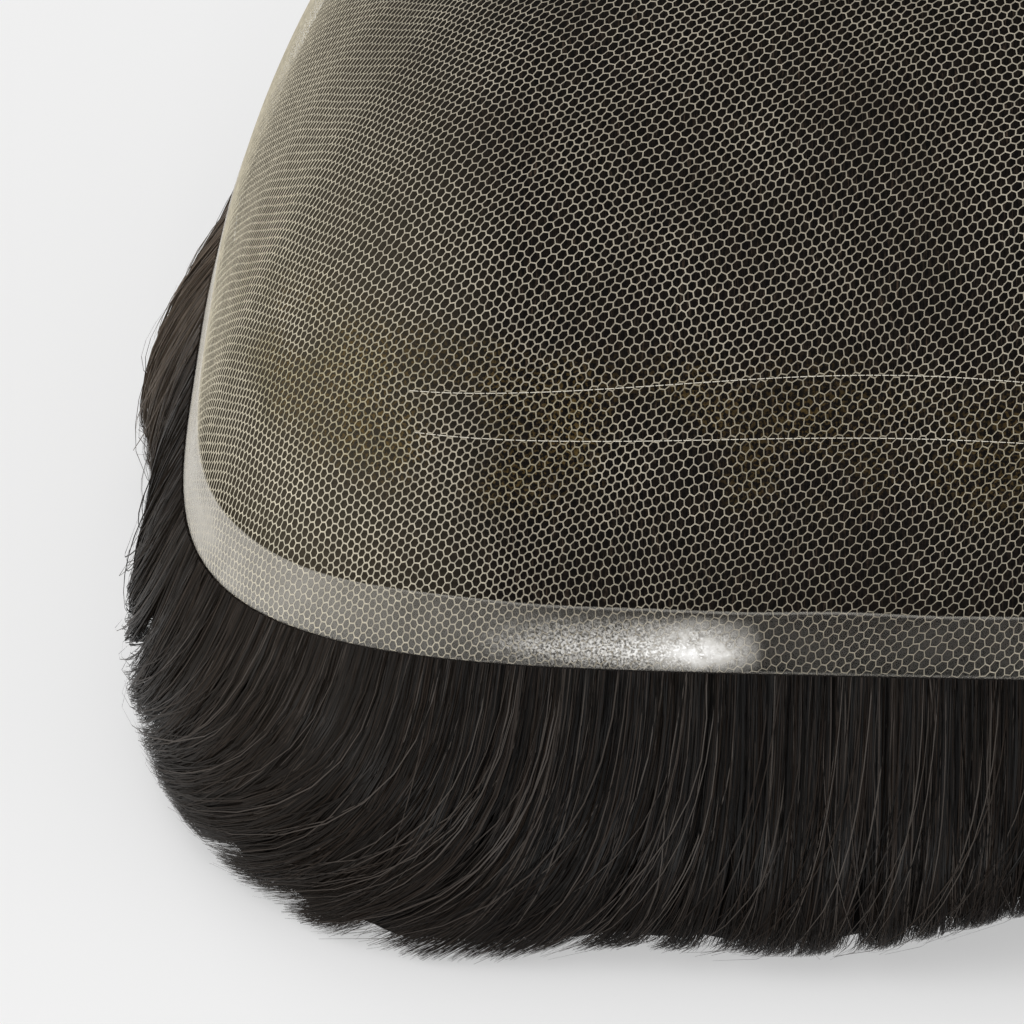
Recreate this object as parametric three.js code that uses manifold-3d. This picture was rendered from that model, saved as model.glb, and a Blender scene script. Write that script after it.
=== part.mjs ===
// A full toupee turned inside out and lying on its own hair: the scalp side of the lace is the
// outer face of the dome, a poly strip binds its edge, and the hair hangs from under the edge
// down to the floor. Millimetres, +Z up, front toward -Y.

import * as THREE from "three";
import { mergeVertices } from "three/addons/utils/BufferGeometryUtils.js";
import Module from "manifold-3d";

const wasm = await Module();
wasm.setup();

// Driving dimensions of the base: a dome whose edge lies in one level plane.
const BASE_HALF_WIDTH = 71.5; // from the middle to the edge over the ear
const FRONT_REACH = 60; // from the crown's axis to the front edge
const BACK_REACH = 118; // from the crown's axis to the back edge
const DOME_RISE = 65; // from the plane of the edge to the crown
const EDGE_LEAN_DEG = 12; // how far short of upright the dome stops at its edge
const FRONT_SQUARENESS = 4.5; // exponent of the edge's outline in front: 2 is an ellipse
const BACK_SQUARENESS = 2.3; // the same exponent behind

const LACE_THICKNESS = 1;
const STRIP_WIDTH = 6.35; // quarter inch poly strip
const STRIP_THICKNESS = 1;

// Driving dimensions of the hair.
const EDGE_HEIGHT = 28; // from the floor to the plane of the edge
const FRONT_FULLNESS = 12.5; // how far the hair stands out past the edge in front
const SIDE_FULLNESS = 5; // the same at the sides
const BACK_FULLNESS = 9; // the same behind
const HAIR_WALL = 8; // depth of the hanging hair, inward from the edge's outline
const CROWN_HAIR_DEPTH = 6; // depth of the hair under the lace
const CROWN_GROOVE = 0.8; // depth of the grooves between the locks under the lace
const LOCK_PITCH = 11.5; // along the edge, from one lock to the next
const LOCK_WIDTH = 14;
const LOCK_DEPTH = 6;
const LOCK_RELIEF = 2; // how far a lock's crest stands out of the hair behind it
const LOCK_DRIFT = 7; // how far a lock's tip is combed along the edge
const TIP_FLICK = 3; // how far the tips turn out at the front left corner
const TIP_FLICK_DEG = 60; // where along the edge they turn out most
const HEM_LIFT = 8; // how far the hem is lifted off the floor, right of the middle of the front
const HEM_LIFT_DEG = -24; // where along the edge that lift is highest
const HEM_LIFT_SPAN_DEG = 34; // from its highest to where it ends

const CLEARANCE = 0.3; // between neighbouring pieces

// How finely the forms are divided.
const TURN_STEPS = 72; // round the dome
const MEASURE_STEPS = 720; // round the edge, and from the crown to it, where lengths are measured
const LACE_STEPS = 8; // from the crown to the strip
const STRIP_STEPS = 2; // across the strip
const CROWN_HAIR_STEPS = 5; // from the crown to the edge, on the hair's inner face
const CROWN_GROOVES = TURN_STEPS / 4;
const LOCK_SIDES = 6;
const OUTLINE_NUDGE = 0.001; // step of the differences that give tangents and normals
const WELD = 1e-4; // corners closer than this are one

// The hanging hair's outer face: how far down it is, as a share of the height of the edge, and
// how far out, as a share of the fullness.
const FALL_OF_HAIR = [
  { down: 0, out: 0 },
  { down: 0.2, out: 0.42 },
  { down: 0.45, out: 0.8 },
  { down: 0.7, out: 1 },
  { down: 0.9, out: 0.9 },
  { down: 1, out: 0.6 },
];

// Where the hair stands out more than its even fullness or lies closer, as shares of
// SIDE_FULLNESS: it spreads at the front left corner, rolls out behind the left ear and is drawn
// in behind that roll.
const SWELLS = [
  { atDeg: 35, spanDeg: 14, share: 0.4 },
  { atDeg: 108, spanDeg: 17, share: 0.8 },
  { atDeg: 138, spanDeg: 22, share: -0.7 },
];

// A lock from its root to its tip: shares of the fall, of LOCK_WIDTH and of LOCK_DEPTH.
const LOCK_SECTIONS = [
  { down: 0, width: 0.8, depth: 0.75 },
  { down: 0.3, width: 1, depth: 1 },
  { down: 0.65, width: 0.9, depth: 0.95 },
  { down: 0.86, width: 0.62, depth: 0.75 },
  { down: 1, width: 0.22, depth: 0.4 },
];

// How locks differ: each share goes from the least to the most by chance.
const LOCK_VARIETY = {
  size: { least: 0.85, most: 1.15 }, // of LOCK_WIDTH
  drift: { least: 0.4, most: 1.4 }, // of LOCK_DRIFT
  flick: { least: 0, most: 1 }, // of TIP_FLICK
  reach: { least: 0.9, most: 1 }, // of the fall
};

// The hanging hair is parted where the front, the sides and the back meet.
const PARTINGS = [
  { name: "front_hair", fromDeg: -48, toDeg: 48 },
  { name: "left_side_hair", fromDeg: 48, toDeg: 132 },
  { name: "back_hair", fromDeg: 132, toDeg: 228 },
  { name: "right_side_hair", fromDeg: 228, toDeg: 312 },
];

const laceMaterial = new THREE.MeshStandardMaterial({ color: 0xa89f8b, roughness: 0.8 });
const stripMaterial = new THREE.MeshStandardMaterial({ color: 0xcfcabf, roughness: 0.3 });
const hairMaterial = new THREE.MeshStandardMaterial({ color: 0x241f1c, roughness: 0.55 });

const radians = THREE.MathUtils.degToRad;
const FULL_TURN = 2 * Math.PI;
const EDGE_FALL = Math.PI / 2 - radians(EDGE_LEAN_DEG); // polar angle of the edge

// A repeatable number from 0 to 1 for each lock: the fraction of a large multiple of a sine.
function scatter(index, salt) {
  const wave = Math.sin(index * 127.1 + salt * 311.7) * 43758.5453;
  return wave - Math.floor(wave);
}

const varied = (index, salt, { least, most }) => least + (most - least) * scatter(index, salt);

// A cosine squared hump round the edge: 1 at one turn and 0 from a span away.
function hump(turn, atDeg, spanDeg) {
  const past = turn - radians(atDeg);
  const away = Math.abs(Math.atan2(Math.sin(past), Math.cos(past)));
  return Math.cos((Math.min(away / radians(spanDeg), 1) * Math.PI) / 2) ** 2;
}

// Radius of the plan outline at a turn from the front toward -X. The outline is a superellipse
// at the edge and softens into an ellipse toward the crown.
function planRadius(turn, share) {
  const front = Math.cos(turn) > 0;
  const squareness = front ? FRONT_SQUARENESS : BACK_SQUARENESS;
  const reach = front ? FRONT_REACH : BACK_REACH;
  const power = 2 + (squareness - 2) * share ** 2;
  const across = Math.abs(Math.sin(turn) / BASE_HALF_WIDTH) ** power;
  const along = Math.abs(Math.cos(turn) / reach) ** power;
  return (across + along) ** (-1 / power);
}

// A point of the scalp face at a turn and at a fall, the polar angle from the crown.
function scalpPoint(turn, fall) {
  const lean = radians(EDGE_LEAN_DEG);
  const share = Math.sin(fall) / Math.cos(lean);
  const radius = planRadius(turn, share) * share;
  const rise = (Math.cos(fall) - Math.sin(lean)) / (1 - Math.sin(lean));
  return new THREE.Vector3(
    -radius * Math.sin(turn),
    -radius * Math.cos(turn),
    EDGE_HEIGHT + DOME_RISE * rise,
  );
}

function scalpNormal(turn, fall) {
  if (fall < OUTLINE_NUDGE) return new THREE.Vector3(0, 0, 1);
  const along = scalpPoint(turn + OUTLINE_NUDGE, fall).sub(scalpPoint(turn - OUTLINE_NUDGE, fall));
  const down = scalpPoint(turn, fall + OUTLINE_NUDGE).sub(scalpPoint(turn, fall - OUTLINE_NUDGE));
  return along.cross(down).normalize();
}

// The point at a depth under the scalp face, no lower than the plane of the edge.
function underScalp(turn, fall, depth) {
  const point = scalpPoint(turn, fall).addScaledVector(scalpNormal(turn, fall), -depth);
  point.z = Math.max(point.z, EDGE_HEIGHT);
  return point;
}

// The fall at which the scalp face is a given width up from the edge.
function fallAboveEdge(turn, width) {
  const step = EDGE_FALL / MEASURE_STEPS;
  let fall = EDGE_FALL;
  let walked = 0;
  let last = scalpPoint(turn, fall);
  while (walked < width) {
    fall -= step;
    const next = scalpPoint(turn, fall);
    const length = next.distanceTo(last);
    if (walked + length > width) {
      return fall + step * (1 - (width - walked) / length);
    }
    walked += length;
    last = next;
  }
  return fall;
}

// Collects quads and gives them back as one closed geometry.
function surfaceOf(addFaces) {
  const corners = [];
  const triangle = (a, b, c) => {
    if (a.distanceTo(b) && b.distanceTo(c) && c.distanceTo(a)) corners.push(...a, ...b, ...c);
  };
  addFaces((a, b, c, d) => {
    triangle(a, b, c);
    triangle(a, c, d);
  });
  const geometry = new THREE.BufferGeometry();
  geometry.setAttribute("position", new THREE.Float32BufferAttribute(corners, 3));
  return mergeVertices(geometry, WELD);
}

// A closed ring of sections: section(i) gives the points of one loop, outer face first, from the
// top down, and the loops join up round the whole turn.
function ringOfSections(count, section) {
  const loops = Array.from({ length: count }, (_, i) => section(i));
  return surfaceOf((quad) => {
    loops.forEach((loop, i) => {
      const next = loops[(i + 1) % count];
      loop.forEach((point, j) => {
        const k = (j + 1) % loop.length;
        quad(point, next[j], next[k], loop[k]);
      });
    });
  });
}

const turnAt = (step) => (step / TURN_STEPS) * FULL_TURN;

// Falls at equal steps from one to another.
const fallsBetween = (top, low, steps) =>
  Array.from({ length: steps + 1 }, (_, j) => top + ((low - top) * j) / steps);

const laceFalls = (turn) =>
  fallsBetween(0, fallAboveEdge(turn, STRIP_WIDTH + CLEARANCE), LACE_STEPS);
const stripFalls = (turn) =>
  fallsBetween(fallAboveEdge(turn, STRIP_WIDTH), EDGE_FALL, STRIP_STEPS);

// A band under the scalp face between two depths, through the falls given for each turn.
function scalpBand(falls, outerDepth, innerDepth) {
  return ringOfSections(TURN_STEPS, (i) => {
    const turn = turnAt(i);
    const outer = falls(turn).map((fall) => underScalp(turn, fall, outerDepth));
    const inner = falls(turn).map((fall) => underScalp(turn, fall, innerDepth));
    return [...outer, ...inner.reverse()];
  });
}

// A cap under the scalp face: a face at one depth and a face at another, each through its own
// falls, that meet on the crown's axis and are joined by a rim at their last fall.
function scalpCap(outerFalls, outerDepth, innerFalls, innerDepth) {
  const column = (i, falls, depth) => {
    const turn = turnAt(i % TURN_STEPS);
    return falls(turn).map((fall) => underScalp(turn, fall, depth(turn, fall)));
  };
  return surfaceOf((quad) => {
    for (let i = 0; i < TURN_STEPS; i++) {
      const [outer, nextOuter] = [i, i + 1].map((k) => column(k, outerFalls, () => outerDepth));
      const [inner, nextInner] = [i, i + 1].map((k) => column(k, innerFalls, innerDepth));
      for (let j = 0; j + 1 < outer.length; j++) {
        quad(outer[j], nextOuter[j], nextOuter[j + 1], outer[j + 1]);
      }
      for (let j = 0; j + 1 < inner.length; j++) {
        quad(inner[j], inner[j + 1], nextInner[j + 1], nextInner[j]);
      }
      quad(outer.at(-1), nextOuter.at(-1), nextInner.at(-1), inner.at(-1));
    }
  });
}

// A point of the edge's outline moved straight out by a distance, at a height.
function besideEdge(turn, out, height) {
  const here = scalpPoint(turn, EDGE_FALL);
  const normal = edgeNormal(turn);
  return new THREE.Vector3(here.x + normal.x * out, here.y + normal.y * out, height);
}

function edgeNormal(turn) {
  const ahead = scalpPoint(turn + OUTLINE_NUDGE, EDGE_FALL);
  const behind = scalpPoint(turn - OUTLINE_NUDGE, EDGE_FALL);
  const along = ahead.sub(behind);
  return new THREE.Vector3(-along.y, along.x, 0).normalize();
}

// How far the hair stands out past the edge, before its locks.
function fullness(turn) {
  const toward = Math.cos(turn);
  const end = toward > 0 ? FRONT_FULLNESS : BACK_FULLNESS;
  const even = SIDE_FULLNESS + (end - SIDE_FULLNESS) * toward ** 2;
  const swell = (row) => SIDE_FULLNESS * row.share * hump(turn, row.atDeg, row.spanDeg);
  return SWELLS.reduce((out, row) => out + swell(row), even) - LOCK_RELIEF;
}

// How high the hem is lifted off the floor.
const hemLift = (turn) => HEM_LIFT * hump(turn, HEM_LIFT_DEG, HEM_LIFT_SPAN_DEG);

// A share of the fall as a height, and the outer face's reach there.
const heightAt = (turn, down) => EDGE_HEIGHT - (EDGE_HEIGHT - hemLift(turn)) * down;

function outAt(turn, down) {
  const after = Math.max(1, FALL_OF_HAIR.findIndex((row) => row.down >= down));
  const [a, b] = [FALL_OF_HAIR[after - 1], FALL_OF_HAIR[after]];
  const out = a.out + ((b.out - a.out) * (down - a.down)) / (b.down - a.down);
  return fullness(turn) * out;
}

// The hair behind the locks: a wall that hangs from the edge to the floor.
function backingGeometry() {
  return ringOfSections(TURN_STEPS, (i) => {
    const turn = turnAt(i);
    const outer = FALL_OF_HAIR.map((row) =>
      besideEdge(turn, outAt(turn, row.down), heightAt(turn, row.down)),
    );
    const low = besideEdge(turn, -HAIR_WALL, heightAt(turn, 1));
    const high = besideEdge(turn, -HAIR_WALL, EDGE_HEIGHT);
    return [...outer, low, high];
  });
}

// One lock: oval sections along its fall, combed sideways and flicked out at its tip.
function lockGeometry(index, turn, turnPerLength) {
  const size = varied(index, 1, LOCK_VARIETY.size);
  const drift = LOCK_DRIFT * varied(index, 2, LOCK_VARIETY.drift) * turnPerLength;
  const towardFlick = Math.max(Math.cos(turn - radians(TIP_FLICK_DEG)), 0);
  const flick = TIP_FLICK * towardFlick * varied(index, 3, LOCK_VARIETY.flick);
  const reach = varied(index, 4, LOCK_VARIETY.reach);
  const sections = LOCK_SECTIONS.map((row) => {
    const down = row.down * reach;
    const here = turn + drift * down ** 2;
    const halfWidth = (LOCK_WIDTH / 2) * row.width * size;
    const halfDepth = (LOCK_DEPTH / 2) * row.depth;
    const middle = outAt(here, down) + LOCK_RELIEF - halfDepth + flick * down ** 4;
    const centre = besideEdge(here, middle, heightAt(here, down));
    const outward = edgeNormal(here);
    const along = new THREE.Vector3(-outward.y, outward.x, 0);
    return Array.from({ length: LOCK_SIDES }, (_, k) => {
      const angle = (k / LOCK_SIDES) * FULL_TURN;
      return centre
        .clone()
        .addScaledVector(outward, halfDepth * Math.cos(angle))
        .addScaledVector(along, halfWidth * Math.sin(angle));
    });
  });
  return surfaceOf((quad) => {
    for (let s = 0; s + 1 < sections.length; s++) {
      for (let k = 0; k < LOCK_SIDES; k++) {
        const n = (k + 1) % LOCK_SIDES;
        quad(sections[s][k], sections[s + 1][k], sections[s + 1][n], sections[s][n]);
      }
    }
    const [root, tip] = [sections[0], sections[sections.length - 1]];
    for (let k = 1; k + 1 < LOCK_SIDES; k++) {
      quad(root[0], root[k], root[k + 1], root[0]);
      quad(tip[0], tip[k + 1], tip[k], tip[0]);
    }
  });
}

// Turns at equal lengths along the edge, one for each lock.
function lockTurns() {
  const stepTurn = FULL_TURN / MEASURE_STEPS;
  const lengths = [0];
  for (let i = 1; i <= MEASURE_STEPS; i++) {
    const here = scalpPoint(i * stepTurn, EDGE_FALL);
    const last = scalpPoint((i - 1) * stepTurn, EDGE_FALL);
    lengths.push(lengths[i - 1] + here.distanceTo(last));
  }
  const around = lengths[MEASURE_STEPS];
  const count = Math.round(around / LOCK_PITCH);
  return Array.from({ length: count }, (_, k) => {
    const wanted = ((k + 0.5) / count) * around;
    const step = lengths.findIndex((length) => length >= wanted);
    const turnPerLength = stepTurn / (lengths[step] - lengths[step - 1]);
    return { turn: step * stepTurn, turnPerLength };
  });
}

function solidFrom(geometry) {
  const bare = new THREE.BufferGeometry();
  bare.setAttribute("position", geometry.getAttribute("position"));
  if (geometry.index) bare.setIndex(geometry.index);
  const merged = mergeVertices(bare, WELD);
  return new wasm.Manifold(
    new wasm.Mesh({
      numProp: 3,
      vertProperties: new Float32Array(merged.attributes.position.array),
      triVerts: new Uint32Array(merged.index.array),
    }),
  );
}

function geometryFrom(solid) {
  const mesh = solid.getMesh();
  const geometry = new THREE.BufferGeometry();
  const positions = new Float32Array(mesh.numVert * 3);
  for (let i = 0; i < mesh.numVert; i++) {
    positions.set(mesh.vertProperties.subarray(i * mesh.numProp, i * mesh.numProp + 3), i * 3);
  }
  geometry.setAttribute("position", new THREE.BufferAttribute(positions, 3));
  geometry.setIndex(new THREE.BufferAttribute(new Uint32Array(mesh.triVerts), 1));
  return geometry;
}

// The space between two partings, clear of each by half a clearance, from the floor to just
// under the plane of the edge.
function partingSpace(fromDeg, toDeg) {
  const half = radians(toDeg - fromDeg) / 2;
  const middle = radians(fromDeg + toDeg) / 2;
  const reach = 3 * Math.max(BACK_REACH, FRONT_REACH, BASE_HALF_WIDTH);
  const apex = CLEARANCE / 2 / Math.sin(half);
  const corner = (turn, radius) =>
    new THREE.Vector2(
      -apex * Math.sin(middle) - radius * Math.sin(turn),
      -apex * Math.cos(middle) - radius * Math.cos(turn),
    );
  const outline = new THREE.Shape([
    corner(middle, 0),
    corner(middle - half, reach),
    corner(middle, reach / Math.cos(half)),
    corner(middle + half, reach),
  ]);
  return new THREE.ExtrudeGeometry(outline, {
    depth: EDGE_HEIGHT - CLEARANCE,
    bevelEnabled: false,
  });
}

function largestBody(solid) {
  return solid.decompose().sort((a, b) => b.volume() - a.volume())[0];
}

function hangingHair() {
  let hair = solidFrom(backingGeometry());
  lockTurns().forEach(({ turn, turnPerLength }, index) => {
    hair = hair.add(solidFrom(lockGeometry(index, turn, turnPerLength)));
  });
  return PARTINGS.map(({ name, fromDeg, toDeg }) => {
    const section = largestBody(hair.intersect(solidFrom(partingSpace(fromDeg, toDeg))));
    return { name, geometry: geometryFrom(section) };
  });
}

function crownHairGeometry() {
  const outerDepth = LACE_THICKNESS + CLEARANCE;
  const innerDepth = (turn, fall) =>
    outerDepth + CROWN_HAIR_DEPTH - CROWN_GROOVE * (fall / EDGE_FALL) * Math.cos(CROWN_GROOVES * turn);
  const outerFalls = (turn) => [...laceFalls(turn), ...stripFalls(turn)];
  const innerFalls = () => fallsBetween(0, EDGE_FALL, CROWN_HAIR_STEPS);
  return scalpCap(outerFalls, outerDepth, innerFalls, innerDepth);
}

function laceGeometry() {
  return scalpCap(laceFalls, 0, laceFalls, () => LACE_THICKNESS);
}

function stripGeometry() {
  return scalpBand(stripFalls, 0, STRIP_THICKNESS);
}

const toupee = new THREE.Group();

function addPiece(name, geometry, material) {
  const piece = new THREE.Mesh(geometry, material);
  piece.name = name;
  toupee.add(piece);
}

addPiece("lace_base", laceGeometry(), laceMaterial);
addPiece("perimeter_strip", stripGeometry(), stripMaterial);
addPiece("crown_hair", crownHairGeometry(), hairMaterial);
hangingHair().forEach(({ name, geometry }) => addPiece(name, geometry, hairMaterial));

// The origin is on the floor, under the middle of the whole piece.
const box = new THREE.Box3().setFromObject(toupee);
const middle = box.getCenter(new THREE.Vector3());
toupee.position.set(-middle.x, -middle.y, -box.min.z);

const part = new THREE.Group();
part.add(toupee);

export default part;
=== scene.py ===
import math

import bpy
import numpy as np
from bpy.props import (
    FloatProperty,
    FloatVectorProperty,
    IntProperty,
    PointerProperty,
)
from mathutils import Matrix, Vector


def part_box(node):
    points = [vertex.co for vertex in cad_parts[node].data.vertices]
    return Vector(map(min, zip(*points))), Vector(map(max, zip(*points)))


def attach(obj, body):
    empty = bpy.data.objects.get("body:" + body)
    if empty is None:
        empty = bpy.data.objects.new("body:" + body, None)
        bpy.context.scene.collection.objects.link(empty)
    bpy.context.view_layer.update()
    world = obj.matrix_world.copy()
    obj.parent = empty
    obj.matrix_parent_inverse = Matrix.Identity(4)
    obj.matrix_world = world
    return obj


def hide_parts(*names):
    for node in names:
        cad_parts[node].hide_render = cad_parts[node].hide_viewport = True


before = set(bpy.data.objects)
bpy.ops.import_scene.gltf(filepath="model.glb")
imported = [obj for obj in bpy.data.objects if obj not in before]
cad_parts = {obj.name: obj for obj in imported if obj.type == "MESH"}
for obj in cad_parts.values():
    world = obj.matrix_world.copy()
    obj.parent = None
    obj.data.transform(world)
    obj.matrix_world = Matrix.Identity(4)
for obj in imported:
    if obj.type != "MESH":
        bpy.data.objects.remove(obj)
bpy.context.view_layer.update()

bl_info = {
    "name": "Lace toupee, inside out",
    "version": (1, 0, 0),
    "blender": (4, 5, 0),
    "location": "View3D > Sidebar > Toupee",
    "description": "Lace net, clear edge strip and hair of a toupee that lies inside out",
    "category": "Object",
}

MM = 0.001
TURN = 2 * math.pi


def corners_mm(node):
    """Lowest and highest corners of a node of the frame, in millimetres."""
    low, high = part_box(node)
    return np.array(low) / MM, np.array(high) / MM


STRIP_LOW, STRIP_HIGH = corners_mm("perimeter_strip")
LACE_LOW, LACE_HIGH = corners_mm("lace_base")

# The dome of the base, in millimetres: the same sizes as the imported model's.
HALF_WIDTH = (STRIP_HIGH[0] - STRIP_LOW[0]) / 2
FRONT_REACH = 60.0
BACK_REACH = STRIP_HIGH[1] - STRIP_LOW[1] - FRONT_REACH
EDGE_HEIGHT = STRIP_LOW[2]
DOME_RISE = LACE_HIGH[2] - EDGE_HEIGHT
LEAN = math.radians(12)
EDGE_FALL = math.pi / 2 - LEAN
SEMI_HEIGHT = DOME_RISE / (1 - math.sin(LEAN))
FRONT_SQUARENESS = 4.5
BACK_SQUARENESS = 2.3
CROWN = np.array([(STRIP_LOW[0] + STRIP_HIGH[0]) / 2, STRIP_LOW[1] + FRONT_REACH])
FRONT_EDGE = Vector((CROWN[0], STRIP_LOW[1], EDGE_HEIGHT)) * MM
STRIP_WIDTH = 6.35

# The hair, in millimetres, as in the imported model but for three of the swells.
LACE_DEPTH = 1.3  # from the scalp face to the hair under the lace
CROWN_HAIR_DEPTH = 6.0
CROWN_GROOVE = 0.8
CROWN_GROOVES = 18
HAIR_WALL = 8.0
FRONT_FULLNESS = 12.5
SIDE_FULLNESS = 5.0
BACK_FULLNESS = 9.0
FULLEST = 0.75  # share of the fall where the hair stands out most
HEM_LIFT = {"at": -24, "span": 34, "height": 8.0}
SWELLS = (
    {"at": 35, "span": 14, "share": 0.4},
    {"at": 108, "span": 17, "share": 0.8},
    {"at": 138, "span": 22, "share": -0.7},
    # The last three are the scene's own: its loose strands lie closer than the locks.
    {"at": 58, "span": 16, "share": -0.4},
    {"at": 120, "span": 24, "share": -0.6},
    {"at": 140, "span": 20, "share": -0.4},
)
TIPS_UNDER = 0.42  # share of the fullness by which the tips turn back under
TIPS_SPREAD = {"at": 40, "span": 18, "share": 0.36}  # but they spread at the front left corner

# How the flat net is laid on the dome.
NET_PINCH = 0.28  # how much closer its rows lie at the corners than at the middles
NET_STRETCH = np.array([[1.10, 0.15], [0.15, 0.955]])  # it is pulled on the bias
NET_BOW = 42.0  # its rows run back by so much at the sides, in millimetres,
NET_BOW_SPAN = 95.0  # over about this width
NET_REACH = 190.0  # radius of the flat net before it is cut to the edge
CHART_ROUNDS = 14  # corrections until the chart's inverse stands still
THICKENING = 1.9  # power by which threads look thicker where the cells are gathered
THREAD_CREST = 0.03  # height of a thread's crest over the scalp face
THREAD_FOOT = -0.015

# The strands, in millimetres.
STRAND_STEPS = 10
CLUMP_WIDTH = 5.0
STRAND_LAYERS = 2.4  # depth over which strands lie behind one another
STRAY_SHARE = 0.04
TIPS_UNEVEN = 0.13  # share of the fall by which tips may end early
LOWEST = 0.15  # strands stay so far over the floor
# Painted light and sheen: the strands are painted paler toward the left and toward the sides
# behind.
PALER_BACK = (-40.0, 60.0)  # the strands get paler from one place to the other, along y
PALER_LEFT = (-80.0, -35.0)  # and along x

# The sewn rows, in millimetres over the edge and in degrees round it.
SEWN_ROWS = (
    {"above": 23.6, "droop": 1.4, "start": -44, "end": 42},
    {"above": 29.6, "droop": 3.0, "start": -44, "end": 44},
)
STITCH_PITCH = 0.95
STITCH_REACH = 64  # mean radius of the rows, which turns lengths into turns


def linear(code):
    """An sRGB hex colour as linear RGB: each channel by the sRGB curve."""
    channels = [int(code[i : i + 2], 16) / 255 for i in (1, 3, 5)]
    return tuple(c / 12.92 if c <= 0.04045 else ((c + 0.055) / 1.055) ** 2.4 for c in channels)


# Forms of the base and of the hair


def scatter(wave, size):
    """A repeatable share from 0 to 1: what is left of a large sine past its whole number."""
    value = np.sin(wave) * size
    return value - np.floor(value)


def hump(turn, at, span):
    """A cosine squared hump round the edge: 1 at one turn and 0 from a span away, in degrees."""
    past = turn - math.radians(at)
    away = np.abs(np.arctan2(np.sin(past), np.cos(past)))
    return np.cos(np.minimum(away / math.radians(span), 1) * math.pi / 2) ** 2


def plan_radius(turn, share):
    """Radius of a superellipse whose exponent goes from 2 at the crown to the edge's own."""
    front = np.cos(turn) > 0
    squareness = np.where(front, FRONT_SQUARENESS, BACK_SQUARENESS)
    reach = np.where(front, FRONT_REACH, BACK_REACH)
    power = 2 + (squareness - 2) * share**2
    across = np.abs(np.sin(turn) / HALF_WIDTH) ** power
    along = np.abs(np.cos(turn) / reach) ** power
    return (across + along) ** (-1 / power)


def scalp(turn, fall):
    """The scalp face: a dome of radius plan_radius * sin(fall) and of a height that goes with
    cos(fall), cut off where it reaches the edge."""
    share = np.sin(fall) / math.cos(LEAN)
    radius = plan_radius(turn, share) * share
    height = EDGE_HEIGHT + SEMI_HEIGHT * (np.cos(fall) - math.sin(LEAN))
    x = CROWN[0] - radius * np.sin(turn)
    y = CROWN[1] - radius * np.cos(turn)
    return np.stack(np.broadcast_arrays(x, y, height), axis=-1)


def unit(vectors):
    return vectors / np.maximum(np.linalg.norm(vectors, axis=-1, keepdims=True), 1e-9)


def scalp_normal(turn, fall):
    """Cross product of the dome's two tangents, by small differences."""
    step = 1e-3
    fall = np.maximum(fall, 2 * step)
    along = scalp(turn + step, fall) - scalp(turn - step, fall)
    down = scalp(turn, fall + step) - scalp(turn, fall - step)
    return unit(np.cross(along, down))


def off_scalp(turn, fall, height):
    """A point of the dome moved out along its normal by a height."""
    return scalp(turn, fall) + scalp_normal(turn, fall) * np.asarray(height)[..., None]


def chart_radius(turn, fall):
    """Distance from the crown in the flat net: the mean of the dome's two half axes times a
    little less than the fall, so that the net is gathered toward the edge."""
    share = np.sin(fall) / math.cos(LEAN)
    mean = np.sqrt((plan_radius(turn, share) ** 2 + SEMI_HEIGHT**2) / 2)
    return mean * (0.8 * fall + 0.4 * np.sin(fall / 2))


def from_chart(u, v):
    """Turn and fall of points of the flat net: both are corrected in turns until their distance
    is chart_radius and their angle is turn - NET_PINCH / 4 * share^3 * sin(4 turn)."""
    spin = np.arctan2(-u, -v)
    radius = np.hypot(u, v)
    turn = spin
    fall = np.maximum(radius / SEMI_HEIGHT, 1e-6)
    for _ in range(CHART_ROUNDS):
        fall = np.minimum(fall * radius / chart_radius(turn, fall), math.pi / 2)
        share = np.sin(fall) / math.cos(LEAN)
        turn = spin + NET_PINCH / 4 * share**3 * np.sin(4 * turn)
    return turn, fall


def fall_above_edge(turn, width):
    """The fall that lies a width up from the edge, measured over the dome."""
    falls = np.linspace(EDGE_FALL * 0.6, EDGE_FALL, 160)
    grid = scalp(np.asarray(turn)[:, None], falls[None, :])
    steps = np.linalg.norm(np.diff(grid, axis=1), axis=-1)
    from_top = np.concatenate([np.zeros((len(steps), 1)), np.cumsum(steps, axis=1)], axis=1)
    wanted = from_top[:, -1] - width
    place = np.clip((from_top <= wanted[:, None]).sum(axis=1) - 1, 0, len(falls) - 2)
    rows = np.arange(len(steps))
    part = (wanted - from_top[rows, place]) / steps[rows, place]
    return falls[place] + part * (falls[1] - falls[0])


# The edge's outline as a table of turn by length, for hair that is placed along it.
EDGE_TURNS = np.linspace(-math.pi, math.pi, 2881)
EDGE_POINTS = scalp(EDGE_TURNS, np.full_like(EDGE_TURNS, EDGE_FALL))
EDGE_LENGTHS = np.concatenate(
    [[0], np.cumsum(np.linalg.norm(np.diff(EDGE_POINTS, axis=0), axis=-1))]
)
AROUND = EDGE_LENGTHS[-1]


def turn_at(length):
    return np.interp(np.mod(length, AROUND), EDGE_LENGTHS, EDGE_TURNS)


def length_at(turn_deg):
    return float(np.interp(math.radians(turn_deg), EDGE_TURNS, EDGE_LENGTHS))


def edge_frame(length):
    """Turn, edge point and level outward normal at a length along the edge."""
    turn = turn_at(length)
    fall = np.full_like(turn, EDGE_FALL)
    here = scalp(turn, fall)
    along = scalp(turn + 2e-3, fall) - scalp(turn - 2e-3, fall)
    outward = unit(np.stack([-along[..., 1], along[..., 0], 0 * turn], axis=-1))
    return turn, here, outward


def fullness(turn):
    """How far the hair stands out past the edge: even, by a cosine squared between the sides
    and the ends, plus the swells."""
    toward = np.cos(turn)
    end = np.where(toward > 0, FRONT_FULLNESS, BACK_FULLNESS)
    out = SIDE_FULLNESS + (end - SIDE_FULLNESS) * toward**2
    for row in SWELLS:
        out = out + SIDE_FULLNESS * row["share"] * hump(turn, row["at"], row["span"])
    return out


def hem_height(turn):
    """Height of the hem over the floor: a hump to the right of the middle of the front."""
    return HEM_LIFT["height"] * hump(turn, HEM_LIFT["at"], HEM_LIFT["span"])


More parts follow.
